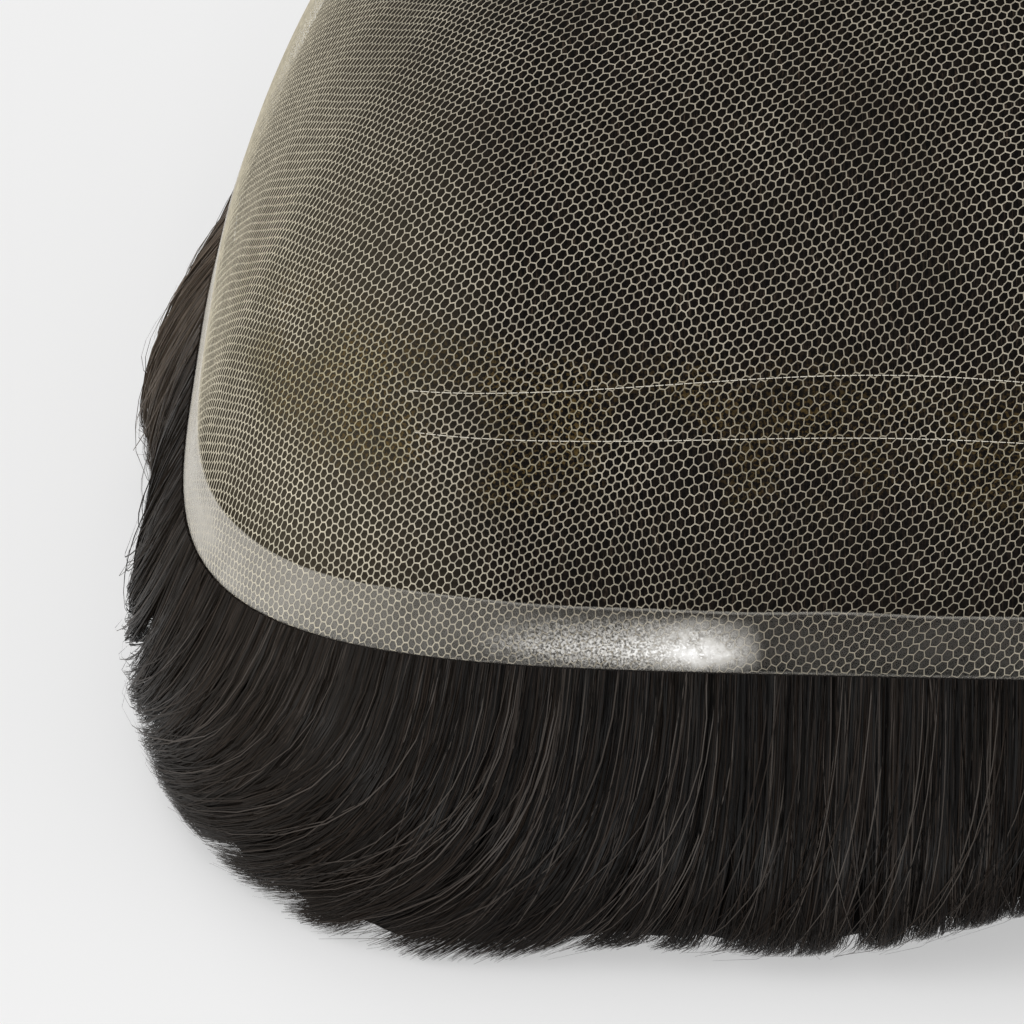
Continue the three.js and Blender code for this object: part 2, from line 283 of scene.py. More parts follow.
def belly(turn, down):
    """How far out the hair stands at a share of its fall: a parabola to its fullest, then one
    that turns under."""
    under = TIPS_UNDER - TIPS_SPREAD["share"] * hump(turn, TIPS_SPREAD["at"], TIPS_SPREAD["span"])
    rising = 1 - (1 - down / FULLEST) ** 2
    turning = 1 - under * ((down - FULLEST) / (1 - FULLEST)) ** 2
    return np.where(down < FULLEST, rising, turning)


# Meshes


def add_mesh(name, points, faces, material, uv=None, smooth=True):
    """A mesh object at the origin from points in millimetres and rows of vertex numbers."""
    mesh = bpy.data.meshes.new(name)
    mesh.from_pydata((points * MM).tolist(), [], faces.tolist())
    mesh.polygons.foreach_set("use_smooth", np.full(len(mesh.polygons), smooth))
    if uv is not None:
        layer = mesh.uv_layers.new(name="UVMap")
        layer.data.foreach_set("uv", uv[faces.ravel()].astype(np.float32).ravel())
    mesh.materials.append(material)
    mesh.update()
    piece = bpy.data.objects.new(name, mesh)
    bpy.context.scene.collection.objects.link(piece)
    return piece


def grid_faces(rows, columns, close_rows=False, close_columns=False):
    """Quads of a grid of rows by columns, closed round on either side."""
    i = np.arange(rows if close_rows else rows - 1)[:, None]
    j = np.arange(columns if close_columns else columns - 1)[None, :]
    n, m = (i + 1) % rows, (j + 1) % columns
    quads = [i * columns + j, i * columns + m, n * columns + m, n * columns + j]
    return np.stack(np.broadcast_arrays(*quads), axis=-1).reshape(-1, 4)


def ribbons(paths, widths, facing):
    """Flat strands along paths (strand, point, xyz): each point is moved to both sides, along
    the cross product of the tangent and the way that the strand faces."""
    tangent = unit(np.gradient(paths, axis=1))
    level = facing - tangent * np.sum(facing * tangent, axis=-1, keepdims=True)
    half = unit(np.cross(tangent, unit(level))) * widths[..., None] / 2
    count, steps = paths.shape[:2]
    points = np.stack([paths - half, paths + half], axis=2).reshape(-1, 3)
    faces = grid_faces(steps, 2)[None] + (np.arange(count) * steps * 2)[:, None, None]
    return points, faces.reshape(-1, 4)


def settle(piece, slot, *nodes):
    """Rides the piece on the base and hides the nodes that it stands for. The slot is not used."""
    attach(piece, "root")
    if nodes:
        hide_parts(*nodes)


# Materials


def add_node(tree, kind, settings=None, links=None):
    """Adds a node, sets its properties or sockets by name and links its inputs."""
    node = tree.nodes.new(kind)
    for key, value in (settings or {}).items():
        if isinstance(key, str) and hasattr(node, key):
            setattr(node, key, value)
        else:
            node.inputs[key].default_value = value
    for key, source in (links or {}).items():
        tree.links.new(source, node.inputs[key])
    return node


def new_material(name, settings):
    material = bpy.data.materials.new(name)
    material.use_nodes = True
    tree = material.node_tree
    shader = tree.nodes["Principled BSDF"]
    for key, value in settings.items():
        shader.inputs[key].default_value = value
    return material, tree, shader


def ramp(tree, factor, stops):
    """A colour ramp through (place, value) stops, where a value is a grey or a colour."""
    node = add_node(tree, "ShaderNodeValToRGB", links={0: factor})
    elements = node.color_ramp.elements
    while len(elements) < len(stops):
        elements.new(0.5)
    for element, (place, value) in zip(elements, stops):
        element.position = place
        element.color = (*(value if isinstance(value, tuple) else (value,) * 3), 1)
    return node.outputs["Color"]


def mixed(tree, factor, first, second, blend="MIX"):
    """Two colours mixed or multiplied, each given as a socket or as a colour."""
    node = add_node(tree, "ShaderNodeMix", {"data_type": "RGBA", "blend_type": blend})
    for socket, value in ((0, factor), (6, first), (7, second)):
        if isinstance(value, bpy.types.NodeSocket):
            tree.links.new(value, node.inputs[socket])
        else:
            node.inputs[socket].default_value = (*value, 1) if isinstance(value, tuple) else value
    return node.outputs[2]


def product(tree, *factors):
    result = factors[0]
    for factor in factors[1:]:
        result = mixed(tree, 1.0, result, factor, "MULTIPLY")
    return result


def noise(tree, place, pitch_mm, detail=2.0):
    """Noise whose patches are about a pitch across."""
    settings = {"Scale": 1 / (pitch_mm * MM), "Detail": detail}
    return add_node(tree, "ShaderNodeTexNoise", settings, {"Vector": place}).outputs["Fac"]


def stretch(tree, value, low_mm, high_mm):
    """A coordinate as a share of the way from one place to another."""
    settings = {"From Min": low_mm * MM, "From Max": high_mm * MM}
    return add_node(tree, "ShaderNodeMapRange", settings, {"Value": value}).outputs[0]


def knot_patches(tree, place):
    """Where knots are bleached: cloudy patches in a band behind the front edge, denser toward
    the left temple."""
    axes = add_node(tree, "ShaderNodeSeparateXYZ", links={0: place})
    clouds = ramp(tree, noise(tree, place, 11.0, 4.0), [(0.4, 0.0), (0.58, 0.55)])
    height = stretch(tree, axes.outputs["Z"], EDGE_HEIGHT, EDGE_HEIGHT + DOME_RISE)
    band = ramp(tree, height, [(0.2, 0.0), (0.28, 1.0), (0.38, 1.0), (0.46, 0.0)])
    depth = stretch(tree, axes.outputs["Y"], CROWN[1] - FRONT_REACH, CROWN[1])
    front = ramp(tree, depth, [(0.45, 1.0), (0.85, 0.0)])
    side = stretch(tree, axes.outputs["X"], CROWN[0] - HALF_WIDTH, CROWN[0] + HALF_WIDTH)
    temple = ramp(tree, side, [(0.1, 1.0), (0.35, 0.8), (0.5, 0.45), (1.0, 0.7)])
    return product(tree, clouds, band, front, temple)


def left_side(tree, place):
    """Where the net and the roots are painted paler as painted light: low on the left side, where
    side light and a grazing view make them look pale.
    """
    axes = add_node(tree, "ShaderNodeSeparateXYZ", links={0: place})
    side = stretch(tree, axes.outputs["X"], CROWN[0] - HALF_WIDTH, CROWN[0])
    height = stretch(tree, axes.outputs["Z"], EDGE_HEIGHT, EDGE_HEIGHT + DOME_RISE)
    low = ramp(tree, height, [(0.5, 1.0), (0.85, 0.25)])
    return product(tree, ramp(tree, side, [(0.15, 1.0), (0.48, 0.0)]), low)


def thread_material(look):
    """Nylon monofilament net, heat set: pale matt threads, painted paler toward the left side as
    painted light, darker where the hair's dye has rubbed off on them and yellower at the bleached
    knots."""
    material, tree, shader = new_material("nylon_net_thread", {"Roughness": 0.6})
    shader.inputs["Specular IOR Level"].default_value = 0.3
    place = add_node(tree, "ShaderNodeTexCoord").outputs["Object"]
    dyed = ramp(tree, noise(tree, place, 16.0, 4.0), [(0.35, 1.0), (0.65, 0.0)])
    colour = mixed(tree, dyed, tuple(look.thread), tuple(look.thread_dark))
    # Painted light: low on the left side the threads are painted paler.
    colour = mixed(tree, left_side(tree, place), colour, tuple(look.thread_painted_light))
    colour = mixed(tree, knot_patches(tree, place), colour, tuple(look.knot_thread))
    uneven = ramp(tree, noise(tree, place, 0.9), [(0.3, 0.62), (0.7, 1.0)])
    tree.links.new(product(tree, colour, uneven), shader.inputs["Base Color"])
    return material


def film_material(look):
    """Polyurethane film, brushed on and dried: clear enough to show the net, and glossy. Its
    milkiness rises toward the temples as painted sheen, and a patch at the front left is painted
    white and opaque with sparkle as a painted highlight."""
    material, tree, shader = new_material("polyurethane_film", {"Roughness": 0.22})
    shader.inputs["Specular IOR Level"].default_value = 0.6
    coords = add_node(tree, "ShaderNodeTexCoord")
    place = coords.outputs["Object"]
    shares = add_node(tree, "ShaderNodeSeparateXYZ", links={0: coords.outputs["UV"]})
    round_edge, across = shares.outputs["X"], shares.outputs["Y"]
    rims = ramp(tree, across, [(0.0, 0.2), (0.04, 0.0), (0.96, 0.0), (1.0, 0.2)])
    clear = look.film_haze
    # Painted sheen: the film's haze rises toward the temples, up to 29 times its value in front,
    # where the strip is seen at a grazing angle and looks pale.
    sheen_toward_temples = ((0.06, 1), (0.15, 1.8), (0.22, 3.5), (0.28, 11), (0.38, 29))
    haze = ramp(tree, round_edge, [(share, clear * times) for share, times in sheen_toward_temples])
    cloudy = ramp(tree, noise(tree, place, 5.0, 3.0), [(0.35, 0.75), (0.65, 1.0)])
    # Painted highlight: a patch at the front left, made white, opaque and sparkling in place of
    # the lamps' glossy reflection.
    highlight_round = ramp(
        tree, round_edge, [(0.068, 0.0), (0.1, 1.0), (0.12, 0.8), (0.165, 0.45), (0.2, 0.0)]
    )
    highlight_across = ramp(tree, across, [(0.05, 0.0), (0.5, 0.7), (0.7, 1.0), (0.98, 0.2)])
    left = add_node(tree, "ShaderNodeSeparateXYZ", links={0: place}).outputs["X"]
    on_left = ramp(tree, stretch(tree, left, CROWN[0] - 1, CROWN[0] + 1), [(0.4, 1.0), (0.6, 0.0)])
    # The grain, the smooth glare and the streaks below shape the painted highlight's sparkle.
    grain = ramp(tree, noise(tree, place, 0.25, 2.0), [(0.42, 0.1), (0.62, 1.0)])
    smooth = ramp(tree, round_edge, [(0.08, 0.9), (0.105, 0.8), (0.14, 0.0)])
    streaks = ramp(tree, noise(tree, place, 1.3, 3.0), [(0.36, 0.45), (0.56, 1.0)])
    grain = mixed(tree, 1.0, grain, product(tree, smooth, streaks), "LIGHTEN")
    painted_highlight = product(tree, highlight_round, highlight_across, on_left, grain)
    alpha = mixed(tree, 1.0, product(tree, haze, cloudy), rims, "LIGHTEN")
    alpha = mixed(tree, 1.0, alpha, painted_highlight, "LIGHTEN")
    colour = mixed(tree, painted_highlight, tuple(look.film), (1.0, 1.0, 1.0))
    tree.links.new(colour, shader.inputs["Base Color"])
    tree.links.new(alpha, shader.inputs["Alpha"])
    settings = {"Strength": 0.7, "Distance": 0.15 * MM}
    bump = add_node(tree, "ShaderNodeBump", settings, {"Height": noise(tree, place, 0.6, 3.0)})
    tree.links.new(bump.outputs["Normal"], shader.inputs["Normal"])
    return material


def strand_material(look):
    """Human hair, dyed off black: smooth scales that glint a little along the strand, with some
    warm brown and a few grey hairs among the dark ones, tips mixed toward brown, and hair painted
    paler toward the left and the back as painted light and sheen."""
    material, tree, shader = new_material("dyed_human_hair", {"Roughness": 0.42})
    shader.inputs["Specular IOR Level"].default_value = look.hair_gloss
    coords = add_node(tree, "ShaderNodeTexCoord")
    shares = add_node(tree, "ShaderNodeSeparateXYZ", links={0: coords.outputs["UV"]})
    dark, light = tuple(look.hair_dark), tuple(look.hair_light)
    brown, grey = tuple(look.hair_brown), tuple(look.hair_grey)
    colour = ramp(
        tree, shares.outputs["X"], [(0.0, dark), (0.55, light), (0.86, brown), (0.97, grey)]
    )
    # Over their outer half the strands are mixed toward brown, most at the tips.
    browner_toward_tips = ramp(tree, shares.outputs["Y"], [(0.45, 0.0), (1.0, 0.3)])
    colour = mixed(tree, browner_toward_tips, colour, brown)
    # Painted light and sheen: strands toward the left and the sides behind are painted paler.
    axes = add_node(tree, "ShaderNodeSeparateXYZ", links={0: coords.outputs["Object"]})
    back = stretch(tree, axes.outputs["Y"], *PALER_BACK)
    behind = ramp(tree, back, [(0.05, 0.0), (0.3, 0.8), (0.5, 0.8), (0.9, 0.15)])
    left = ramp(tree, stretch(tree, axes.outputs["X"], *PALER_LEFT), [(0.0, 0.12), (1.0, 0.0)])
    painted_sheen = mixed(tree, 1.0, behind, left, "LIGHTEN")
    colour = mixed(tree, painted_sheen, colour, tuple(look.hair_painted_sheen))
    tree.links.new(colour, shader.inputs["Base Color"])
    return material


def depths_material(look):
    """The inside of the hair: matt and nearly black, with the faint grain of packed strands."""
    material, tree, shader = new_material("packed_hair", {"Roughness": 0.9})
    shader.inputs["Specular IOR Level"].default_value = 0.05
    place = add_node(tree, "ShaderNodeTexCoord").outputs["Object"]
    grain = noise(tree, place, 0.6, 3.0)
    colour = ramp(tree, grain, [(0.35, linear("#060505")), (0.7, tuple(look.hair_dark))])
    tree.links.new(colour, shader.inputs["Base Color"])
    return material


def root_material(look):
    """Knotted roots under the net: nearly black hair in fine lines that lie every way, painted
    greyer toward the left side as painted light, with bleached knots that show as yellow brown
    specks behind the front edge."""
    material, tree, shader = new_material("knotted_hair_roots", {"Roughness": 0.85})
    shader.inputs["Specular IOR Level"].default_value = 0.08
    place = add_node(tree, "ShaderNodeTexCoord").outputs["Object"]
    streaks = add_node(
        tree,
        "ShaderNodeMapping",
        {"Scale": (4200.0, 700.0, 420.0), "Rotation": (0.3, 0.0, 0.5)},
        {"Vector": place},
    )
    lines = add_node(
        tree,
        "ShaderNodeTexNoise",
        {"Scale": 1.0, "Detail": 3.0, "Distortion": 0.9},
        {"Vector": streaks.outputs[0]},
    )
    colour = ramp(
        tree,
        lines.outputs["Fac"],
        [(0.4, linear("#0a0807")), (0.62, linear("#1a1511")), (0.76, linear("#3a3028"))],
    )
    specks = ramp(tree, noise(tree, place, 0.35, 1.0), [(0.5, 0.0), (0.64, 1.0)])
    knots = product(tree, specks, knot_patches(tree, place))
    # Painted light: low on the left side the roots are painted paler.
    colour = mixed(tree, left_side(tree, place), colour, tuple(look.roots_painted_light))
    tree.links.new(mixed(tree, knots, colour, tuple(look.knot)), shader.inputs["Base Color"])
    return material


# Pieces


def net_cells(look):
    """The flat net: centres and six corners of every hexagon whose middle lies inside the
    edge. A regular honeycomb, pulled on the bias by NET_STRETCH."""
    pitch = look.net_pitch / MM
    span = int(NET_REACH / pitch)
    i, j = np.meshgrid(np.arange(-span, span + 1), np.arange(-span, span + 1), indexing="ij")
    rows = look.net_angle + np.array([0, TURN / 6])
    first, second = pitch * np.stack([np.cos(rows), np.sin(rows)], axis=-1)
    centres = (i.reshape(-1, 1) * first + j.reshape(-1, 1) * second) @ NET_STRETCH
    centres = centres[np.hypot(*centres.T) < NET_REACH]
    centres = centres[from_chart(*warped(centres).T)[1] < EDGE_FALL]
    spokes = look.net_angle + TURN / 12 + np.arange(6) * TURN / 6
    spoke = pitch / math.sqrt(3) * np.stack([np.cos(spokes), np.sin(spokes)], axis=-1)
    return centres, centres[:, None, :] + (spoke @ NET_STRETCH)[None]


def warped(flat):
    """A bow of the rows by NET_BOW * (1 - exp(-(u / NET_BOW_SPAN)^2)), slow waves of a third of
    a millimetre and a small scatter, alike at shared corners."""
    u, v = flat[..., 0], flat[..., 1]
    du = 0.34 * np.sin(v / 7.3 + 1.3 * np.sin(u / 11.0)) + 0.18 * np.sin(u / 3.1 + v / 4.7)
    dv = 0.34 * np.sin(u / 8.1 + 1.1 * np.sin(v / 9.0)) + 0.18 * np.sin(u / 3.7 - v / 2.9)
    du = du + 0.12 * (scatter(u * 12.9898 + v * 78.233, 43758.5453) - 0.5)
    dv = dv + 0.12 * (scatter(u * 39.425 + v * 11.135, 24634.6345) - 0.5)
    bow = NET_BOW * (1 - np.exp(-((u / NET_BOW_SPAN) ** 2)))
    return np.stack([u + du, v + dv + bow], axis=-1)


def build_net(look):
    """Each hexagon is a ring of six quads from its shared corners, which stand up as the
    thread's crest, to a smaller hexagon round its hole, so that the threads look thicker where
    the cells are gathered."""
    centres, corners = net_cells(look)
    keys = np.round(corners.reshape(-1, 2), 3)
    shared, index = np.unique(keys, axis=0, return_inverse=True)
    shared = warped(shared)
    index = index.reshape(-1, 6)
    ring = shared[index]
    middle = ring.mean(axis=1, keepdims=True)
    crest_turn, crest_fall = from_chart(shared[:, 0], shared[:, 1])
    spread = scalp(crest_turn, crest_fall)[index]
    spread = np.linalg.norm(spread - spread.mean(axis=1, keepdims=True), axis=-1).mean(axis=1)
    gathered = spread * math.sqrt(3) / (look.net_pitch / MM)
    thread = look.thread_width / look.net_pitch / gathered**THICKENING
    hole = middle + (ring - middle) * (1 - thread)[:, None, None]
    hole_turn, hole_fall = from_chart(hole[..., 0].ravel(), hole[..., 1].ravel())
    crest_fall = np.minimum(crest_fall, EDGE_FALL)
    hole_fall = np.minimum(hole_fall, EDGE_FALL)
    crest = off_scalp(crest_turn, crest_fall, np.full_like(crest_fall, THREAD_CREST))
    foot = off_scalp(hole_turn, hole_fall, np.full_like(hole_fall, THREAD_FOOT))
    foot = foot.reshape(-1, 6, 3)
    material = thread_material(look)
    order = np.argsort(middle[:, 0, 1], kind="stable")
    for name, cells in zip(("lace_front", "lace_crown", "lace_back"), np.array_split(order, 3)):
        used, local = np.unique(index[cells], return_inverse=True)
        local = local.reshape(-1, 6)
        feet = len(used) + np.arange(len(cells) * 6).reshape(-1, 6)
        ahead = [1, 2, 3, 4, 5, 0]
        quads = np.stack([local, local[:, ahead], feet[:, ahead], feet], axis=-1).reshape(-1, 4)
        points = np.concatenate([crest[used], foot[cells].reshape(-1, 3)])
        piece = add_mesh(name, points, quads, material, smooth=False)
        settle(piece, "lace", "lace_base")


def build_strip(look):
    """A closed film over the net's margin: a section of shares across and heights, carried
    round the edge, with a low bead at its brushed edge and slow ripples in its width."""
    turns = np.arange(720) / 720 * TURN
    share = np.array([0, 0, 0.02, 0.05, 0.09, 0.3, 0.6, 0.9, 0.97, 1, 1, 0.5])
    rise = np.array([-0.2, 0.06, 0.14, 0.14, 0.09, 0.08, 0.08, 0.09, 0.12, 0.06, -0.2, -0.2])
    width = STRIP_WIDTH + 0.13 * np.sin(turns * 17) * np.sin(turns * 5 + 1)
    top = fall_above_edge(turns, width)
    fall = top[:, None] + (EDGE_FALL - top)[:, None] * share[None, :]
    points = off_scalp(turns[:, None] + 0 * fall, fall, np.broadcast_to(rise, fall.shape))
    faces = grid_faces(len(turns), len(share), True, True)[:, ::-1]
    mirrored = np.abs(np.arctan2(np.sin(turns), np.cos(turns))) / math.pi
    uv = np.stack([np.repeat(mirrored, len(share)), np.tile(share, len(turns))], axis=-1)
    piece = add_mesh("edge_strip", points.reshape(-1, 3), faces, film_material(look), uv)
    settle(piece, "poly_strip", "perimeter_strip")


def build_crown_hair(look):
    """The hair under the lace: a shell between two depths under the dome, grooved inside."""
    turns = np.arange(120) / 120 * TURN
    falls = np.linspace(0.012, EDGE_FALL, 24)
    turn, fall = np.meshgrid(turns, falls, indexing="ij")
    outer = off_scalp(turn, fall, np.full(fall.shape, -LACE_DEPTH))
    groove = CROWN_GROOVE * (fall / EDGE_FALL) * np.cos(CROWN_GROOVES * turn)
    inner = off_scalp(turn, fall, groove - LACE_DEPTH - CROWN_HAIR_DEPTH)
    points = np.concatenate([outer, inner[:, ::-1]], axis=1)
    points[..., 2] = np.maximum(points[..., 2], EDGE_HEIGHT)
    faces = grid_faces(len(turns), points.shape[1], True, True)[:, ::-1]
    piece = add_mesh("crown_hair_mass", points.reshape(-1, 3), faces, root_material(look))
    settle(piece, "hair", "crown_hair")


def build_hair_mass(look):
    """The dark body behind the hanging strands: a closed section carried round the edge."""
    lengths = np.arange(480) / 480 * AROUND
    turn, here, outward = edge_frame(lengths)
    down = np.array([0, 0.12, 0.25, 0.4, 0.55, 0.7, 0.82, 0.92, 0.97])[None, :]
    swell = belly(turn[:, None], down)
    out = (0.86 * fullness(turn) + 1.0)[:, None] * swell - STRAND_LAYERS
    out = out + 0.5 * np.sin(lengths * TURN / 7.7)[:, None] * swell
    low = hem_height(turn)[:, None]
    top = EDGE_HEIGHT - 0.3
    face = here[:, None, :2] + outward[:, None, :2] * out[..., None]
    face = np.concatenate([face, (top - (top - low) * down)[..., None]], axis=-1)
    back_out = np.array([1.5 - HAIR_WALL, -HAIR_WALL, -HAIR_WALL])
    hem = low[:, 0]
    back_height = np.stack([hem + 0.2, (hem + EDGE_HEIGHT) / 2, 0 * turn + top], axis=1)
    back = here[:, None, :2] + outward[:, None, :2] * back_out[None, :, None]
    back = np.concatenate([back, back_height[..., None]], axis=-1)
    points = np.concatenate([face, back], axis=1)
    faces = grid_faces(len(lengths), points.shape[1], True, True)[:, ::-1]
    piece = add_mesh("hanging_hair_mass", points.reshape(-1, 3), faces, depths_material(look))
    settle(piece, "hair", "front_hair", "left_side_hair", "back_hair", "right_side_hair")


def comb_at(look, turn):
    """How far tips are combed along the edge: most at the front left corner, least in the
    middle of the front, a fifth of it elsewhere."""
    swept = hump(turn, 52, 46)
    middle = hump(turn, -5, 40)
    return look.comb / MM * (0.2 + 0.8 * swept - 0.15 * middle)


def strand_paths(rng, start, end, count, look):
    """Strands that leave the underside of the edge, swell by the belly curve, gather into
    clumps on the way down and are combed along the edge. Each is a length along the edge, a
    distance out and a height, as functions of the share s of its way from root to tip. Also
    their widths, the ways that they face and their shades."""
    root = rng.uniform(start, end, count)
    layer = rng.random(count) ** 0.55
    s = np.linspace(0, 1, STRAND_STEPS)[None, :]
    uneven = root + 1.3 * np.sin(root / 3.3) + 0.8 * np.sin(root / 1.7)
    clump = np.floor(uneven / CLUMP_WIDTH)
    clump_shift = scatter(clump * 127.1, 43758.5453)
    clump_pull = scatter(clump * 311.7 + 3, 24634.6345)
    centre = (clump + 0.2 + 0.6 * clump_shift) * CLUMP_WIDTH
    turn_root = turn_at(root)
    stray = (rng.random(count) < STRAY_SHARE) * rng.normal(0.8, 1.1, count)
    comb = comb_at(look, turn_root) * (0.75 + 0.5 * clump_pull) + rng.normal(0, 0.8, count)
    sway = (comb + 5 * stray)[:, None] * s**2.2
    gather = ((centre - root) * (0.2 + 0.35 * clump_pull))[:, None] * s**1.5
    wave = rng.normal(0, 0.3, count)[:, None] * np.sin(s * rng.uniform(2, 7, count)[:, None])
    along = root[:, None] + sway + gather + wave
    down = s * (1 - TIPS_UNEVEN * rng.random(count) ** 2)[:, None]
    turn, here, outward = edge_frame(along)
    swell = belly(turn, down)
    crest = 1.2 * (0.5 - np.minimum(np.abs(centre - root) / CLUMP_WIDTH, 0.7))
    depth = -STRAND_LAYERS * (1 - layer)[:, None] * (0.25 + 0.75 * s)
    curled = hump(turn_root, 55, 60) * rng.random(count) * layer
    out = (fullness(turn) + 0.3) * swell + crest[:, None] * swell + depth + 0.35 * (1 - s) ** 3
    out = out + (1.6 * curled)[:, None] * s**4 + (0.5 * np.abs(stray))[:, None] * swell
    low = hem_height(turn)
    height = EDGE_HEIGHT + 0.05 - (EDGE_HEIGHT - LOWEST - low) * down
    height = height + (2.5 * curled)[:, None] * s**5
    points = here + outward * out[..., None]
    points[..., 2] = np.maximum(height, LOWEST)
    facing = outward + rng.normal(0, 0.5, (count, 1, 3)) * np.array([1, 1, 0.4])
    thick = look.strand_width / MM * rng.uniform(0.65, 1.3, count)[:, None]
    widths = thick * np.interp(s, [0, 0.6, 1], [1, 1, 0.2])
    shade = rng.uniform(0, 0.97, count) + (stray != 0) * 0.3
    return points, widths, facing, np.minimum(shade, 1)


def strand_uv(count, shade):
    """U is the strand's shade, v runs from root to tip."""
    u = np.repeat(shade, STRAND_STEPS * 2)
    v = np.tile(np.repeat(np.linspace(0, 1, STRAND_STEPS), 2), count)
    return np.stack([u, v], axis=-1)


def build_hanging_hair(look):
    """Strands round the whole edge in six stretches, each one mesh of ribbons."""
    material = strand_material(look)
    front, side, back = look.front_strands, look.side_strands, look.back_strands
    stretches = (
        ("front_left_strands", -14, 48, front, "front_hair"),
        ("front_right_strands", -48, -14, front // 4, "front_hair"),
        ("left_strands", 48, 132, side, "left_side_hair"),
        ("right_strands", -132, -48, side * 5 // 9, "right_side_hair"),
        ("back_left_strands", 132, 180, back, "back_hair"),
        ("back_right_strands", -180, -132, back, "back_hair"),
    )
    for number, (name, start, end, count, node) in enumerate(stretches):
        rng = np.random.default_rng(40 + number)
        start, end = length_at(start), length_at(end)
        paths, widths, facing, shade = strand_paths(rng, start, end, count, look)
        points, faces = ribbons(paths, widths, facing)
        piece = add_mesh(name, points, faces, material, strand_uv(count, shade))
        settle(piece, "hair", node)


def build_stitching(look):
    """Two sewn rows that follow the front edge: short stitches of a four sided thread, on paths
    a length above the edge that gets less with the square of the turn."""
    settings = {"Roughness": 0.4, "Base Color": (*look.sewing, 1)}
    material, _, _ = new_material("sewing_thread", settings)
    points, faces, used = [], [], 0
    for row in SEWN_ROWS:
        start, end = math.radians(row["start"]), math.radians(row["end"])
        starts = np.arange(start, end, STITCH_PITCH / STITCH_REACH)
        turns = (starts[:, None] + np.array([0, 0.4, 0.8])[None, :] / STITCH_REACH).ravel()
        above = row["above"] - row["droop"] * (turns / math.radians(40)) ** 2
        fall = fall_above_edge(turns, above) + 0.001 * np.sin(turns * 7 + row["above"])
        arch = np.tile([0.02, 0.07, 0.02], len(starts))
        centre = off_scalp(turns, fall, arch).reshape(-1, 3, 3)
        normal = scalp_normal(turns, fall).reshape(-1, 3, 3)
        side = unit(np.cross(unit(np.gradient(centre, axis=1)), normal))
        angle = (np.arange(4) / 4 * TURN)[:, None]
        round_thread = normal[:, :, None] * np.cos(angle) + side[:, :, None] * np.sin(angle)
        ring = centre[:, :, None] + look.sewing_width / MM / 2 * round_thread
        firsts = used + np.arange(len(starts)) * 12
        stitch = grid_faces(3, 4, False, True)
        faces.append((stitch[None] + firsts[:, None, None]).reshape(-1, 4))
        points.append(ring.reshape(-1, 3))
        used += len(starts) * 12
    piece = add_mesh("sewn_rows", np.concatenate(points), np.concatenate(faces), material)
    settle(piece, "lace")


def add_lamp(name, place, side, power):
    """A soft square lamp that looks at the front of the piece."""
    lamp = bpy.data.lights.new(name, "AREA")
    lamp.energy = power
    lamp.size = side
    holder = bpy.data.objects.new(name, lamp)
    holder.location = place
    toward = Vector((0, -0.04, 0.03)) - Vector(place)
    holder.rotation_euler = toward.to_track_quat("-Z", "Y").to_euler()
    bpy.context.scene.collection.objects.link(holder)


def build_floor(look):
    """A pale plane that glows a little, like a light table, so that shadows on it are faint."""
    size = 4.0 / MM
    corners = np.array([[-size, -size, 0], [size, -size, 0], [size, size, 0], [-size, size, 0]])
    material, tree, shader = new_material("pale_floor", {"Roughness": 0.9})
    shader.inputs["Base Color"].default_value = (*look.floor, 1)
    shader.inputs["Emission Color"].default_value = (1, 1, 1, 1)
    shader.inputs["Emission Strength"].default_value = look.floor_glow
    shader.inputs["Specular IOR Level"].default_value = 0.1
    add_mesh("floor", corners, np.array([[0, 1, 2, 3]]), material, smooth=False)


def build_lights(look):
    world = bpy.data.worlds.new("studio")
    bpy.context.scene.world = world
    world.use_nodes = True
    background = world.node_tree.nodes["Background"]
    background.inputs["Color"].default_value = (1, 1, 1, 1)
    background.inputs["Strength"].default_value = look.world_strength
    add_lamp("key", (-0.35, -0.5, 0.85), 0.7, look.key_power)
    add_lamp("front", (-0.08, -0.95, 0.16), 0.12, look.front_power)
    add_lamp("rim", (-0.5, 0.7, 0.6), 0.5, look.rim_power)


def build_camera(look):
    """The camera looks down at the front edge from its azimuth and elevation."""
    azimuth, elevation = look.azimuth, look.elevation
    level = Vector((-math.sin(azimuth), math.cos(azimuth), 0))
    ahead = level * math.cos(elevation) - Vector((0, 0, math.sin(elevation)))
    right = Vector((math.cos(azimuth), math.sin(azimuth), 0))
    aim = FRONT_EDGE + right * look.aim_right + right.cross(ahead) * look.aim_up
    data = bpy.data.cameras.new("camera")
    data.sensor_width = 36
    data.lens = look.lens
    data.clip_start = 0.01
    camera = bpy.data.objects.new("camera", data)
    camera.location = aim - ahead * look.distance
    camera.rotation_euler = ahead.to_track_quat("-Z", "Y").to_euler()
    bpy.context.scene.collection.objects.link(camera)
    bpy.context.scene.camera = camera
    bpy.context.scene.view_settings.view_transform = "Standard"


# The add-on


def length_prop(name, text, size_mm):
    return FloatProperty(
        name=name, description=text, default=size_mm * MM, unit="LENGTH", subtype="DISTANCE"
    )


def angle_prop(name, text, degrees):
    return FloatProperty(
        name=name, description=text, default=math.radians(degrees), subtype="ANGLE"
    )


def share_prop(name, text, value):
    return FloatProperty(name=name, description=text, default=value, subtype="FACTOR")


def power_prop(name, text, value):
    return FloatProperty(name=name, description=text, default=value, unit="POWER")


def colour_prop(name, text, code):
    return FloatVectorProperty(
        name=name, description=text, subtype="COLOR", size=3, default=linear(code)
    )


def count_prop(name, text, value):
    return IntProperty(name=name, description=text, default=value)


